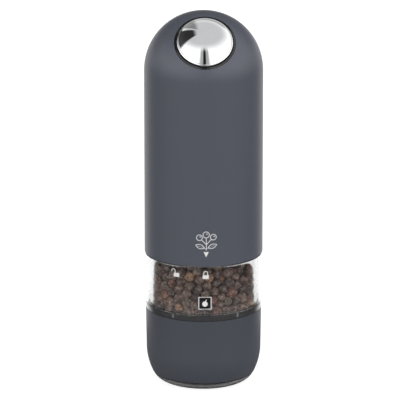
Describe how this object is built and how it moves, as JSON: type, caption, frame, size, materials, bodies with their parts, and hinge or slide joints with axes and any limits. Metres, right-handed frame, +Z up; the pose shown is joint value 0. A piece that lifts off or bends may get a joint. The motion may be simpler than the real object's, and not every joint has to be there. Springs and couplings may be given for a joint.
{
  "type": "pepper mill",
  "caption": "Slim domed pepper mill with a tilted chrome push button, a clear pepper window, a geared motor, a burr grinder with an adjusting knob, and a clear base cap.",
  "frame": {"origin": "centre of the flat face under the clear base cap", "axes": "+Z up along the mill's axis; the push button, the window's front and the marks face -Y"},
  "size_m": [0.053, 0.053, 0.17],
  "materials": {
    "graphite_paint": "satin metallic lacquer on ABS",
    "clear_acrylic": "polished clear acrylic",
    "black_gloss": "gloss black",
    "black_plastic": "fine matt",
    "ceramic": "unglazed ceramic",
    "steel": "plain",
    "chrome": "mirror",
    "brass": "plain",
    "silicone": "matt",
    "acetal": "semi-matt",
    "cell_sleeve": "printed sleeve without lettering",
    "signal_red": "semi-matt",
    "lamp_lens": "water-clear epoxy"
  },
  "bodies": {
    "cap": {"base_cap": "clear_acrylic"},
    "grinder": {"base_cover": "graphite_paint", "burr_housing": "black_gloss", "stator_burr": "ceramic", "bearing_spider": "black_plastic", "shaft_bush": "brass", "spider_screws": "steel", "clear_sleeve": "clear_acrylic", "pepper_cup": "clear_acrylic"},
    "adjuster": {"adjuster_knob": "black_plastic"},
    "lifter": {"thrust_pin": "steel"},
    "rotor": {"drive_shaft": "steel", "rotor_burr": "ceramic", "feed_screw": "black_plastic", "shaft_dog": "black_plastic", "coupling_spring": "steel"},
    "lid": {"reservoir_lid": "black_gloss", "lid_seal": "silicone"},
    "power_unit": {"drive_frame": "black_plastic", "output_bush": "brass", "ring_gear": "black_plastic", "gearbox_plate": "steel", "gearbox_screws": "steel", "motor_can": "steel", "motor_magnets": "black_plastic", "motor_end_cap": "black_plastic", "motor_terminals": "brass", "lamp": "lamp_lens", "battery_carrier": "black_plastic", "contact_springs": "steel", "battery_cells": "cell_sleeve", "contact_plates": "steel", "carrier_cap": "black_plastic", "carrier_screws": "steel", "switch_bracket": "black_plastic", "switch_body": "black_plastic"},
    "motor": {"motor_armature": "brass", "motor_pinion": "brass"},
    "carrier_1": {"planet_carrier": "acetal", "sun_gear_2": "steel"},
    "planet_1a": {"planet_1a": "acetal"},
    "planet_1b": {"planet_1b": "acetal"},
    "planet_1c": {"planet_1c": "acetal"},
    "carrier_2": {"output_coupling": "steel"},
    "planet_2a": {"planet_2a": "acetal"},
    "planet_2b": {"planet_2b": "acetal"},
    "planet_2c": {"planet_2c": "acetal"},
    "shell": {"upper_shell": "graphite_paint", "button_well": "black_gloss"},
    "button": {"push_button": "chrome", "button_stem": "black_plastic", "stem_clip": "steel", "button_spring": "steel"},
    "plunger": {"switch_plunger": "signal_red"}
  },
  "joints": [
    {"name": "cap_off", "type": "slide", "parent": "cap", "child": "grinder", "axis": [0, 0, 1], "range_m": [0, 0.03]},
    {"name": "grind_adjust", "type": "hinge", "parent": "grinder", "child": "adjuster", "pos_m": [0, 0, 0.006], "axis": [0, 0, 1], "range_deg": [0, 270]},
    {"name": "burr_lift", "type": "slide", "parent": "grinder", "child": "lifter", "axis": [0, 0, 1], "range_m": [0, 0.00061], "deforming": ["coupling_spring"]},
    {"name": "burr_spin", "type": "hinge", "parent": "lifter", "child": "rotor", "pos_m": [0, 0, 0.02], "axis": [0, 0, 1], "continuous": true},
    {"name": "upper_lift", "type": "slide", "parent": "grinder", "child": "lid", "axis": [0, 0, 1], "range_m": [0, 0.06]},
    {"name": "upper_turn", "type": "hinge", "parent": "lid", "child": "power_unit", "pos_m": [0, 0, 0.065], "axis": [0, 0, 1], "range_deg": [-27, 0]},
    {"name": "motor_spin", "type": "hinge", "parent": "power_unit", "child": "motor", "pos_m": [0, 0, 0.1], "axis": [0, 0, 1], "continuous": true},
    {"name": "carrier_1_spin", "type": "hinge", "parent": "power_unit", "child": "carrier_1", "pos_m": [0, 0, 0.082], "axis": [0, 0, 1], "continuous": true},
    {"name": "carrier_2_spin", "type": "hinge", "parent": "power_unit", "child": "carrier_2", "pos_m": [0, 0, 0.074], "axis": [0, 0, 1], "continuous": true},
    {"name": "shell_lift", "type": "slide", "parent": "power_unit", "child": "shell", "axis": [0, 0, 1], "range_m": [0, 0.09]},
    {"name": "button_press", "type": "slide", "parent": "shell", "child": "button", "axis": [0, 0.7071, -0.7071], "range_m": [0, 0.002], "stiffness_N_per_m": 600, "springref_m": -0.001, "deforming": ["button_spring"]},
    {"name": "switch_press", "type": "slide", "parent": "power_unit", "child": "plunger", "axis": [0, 0.7071, -0.7071], "range_m": [0, 0.002]},
    {"name": "planet_1a_spin", "type": "hinge", "parent": "carrier_1", "child": "planet_1a", "pos_m": [0.00877, 0, 0], "axis": [0, 0, 1], "continuous": true},
    {"name": "planet_1b_spin", "type": "hinge", "parent": "carrier_1", "child": "planet_1b", "pos_m": [-0.00439, 0.0076, 0], "axis": [0, 0, 1], "continuous": true},
    {"name": "planet_1c_spin", "type": "hinge", "parent": "carrier_1", "child": "planet_1c", "pos_m": [-0.00439, -0.0076, 0], "axis": [0, 0, 1], "continuous": true},
    {"name": "planet_2a_spin", "type": "hinge", "parent": "carrier_2", "child": "planet_2a", "pos_m": [0.00877, 0, 0], "axis": [0, 0, 1], "continuous": true},
    {"name": "planet_2b_spin", "type": "hinge", "parent": "carrier_2", "child": "planet_2b", "pos_m": [-0.00439, 0.0076, 0], "axis": [0, 0, 1], "continuous": true},
    {"name": "planet_2c_spin", "type": "hinge", "parent": "carrier_2", "child": "planet_2c", "pos_m": [-0.00439, -0.0076, 0], "axis": [0, 0, 1], "continuous": true}
  ],
  "couplings": [
    {"joint": "burr_lift", "follows": "grind_adjust", "m_per_rad": 0.00012732},
    {"joint": "carrier_1_spin", "follows": "motor_spin", "ratio": 0.22222},
    {"joint": "carrier_2_spin", "follows": "motor_spin", "ratio": 0.049383},
    {"joint": "burr_spin", "follows": "motor_spin", "ratio": 0.049383},
    {"joint": "switch_press", "follows": "button_press", "ratio": 1},
    {"joint": "planet_1a_spin", "follows": "motor_spin", "ratio": -0.62222},
    {"joint": "planet_2a_spin", "follows": "motor_spin", "ratio": -0.13827},
    {"joint": "planet_1b_spin", "follows": "motor_spin", "ratio": -0.62222},
    {"joint": "planet_2b_spin", "follows": "motor_spin", "ratio": -0.13827},
    {"joint": "planet_1c_spin", "follows": "motor_spin", "ratio": -0.62222},
    {"joint": "planet_2c_spin", "follows": "motor_spin", "ratio": -0.13827}
  ]
}
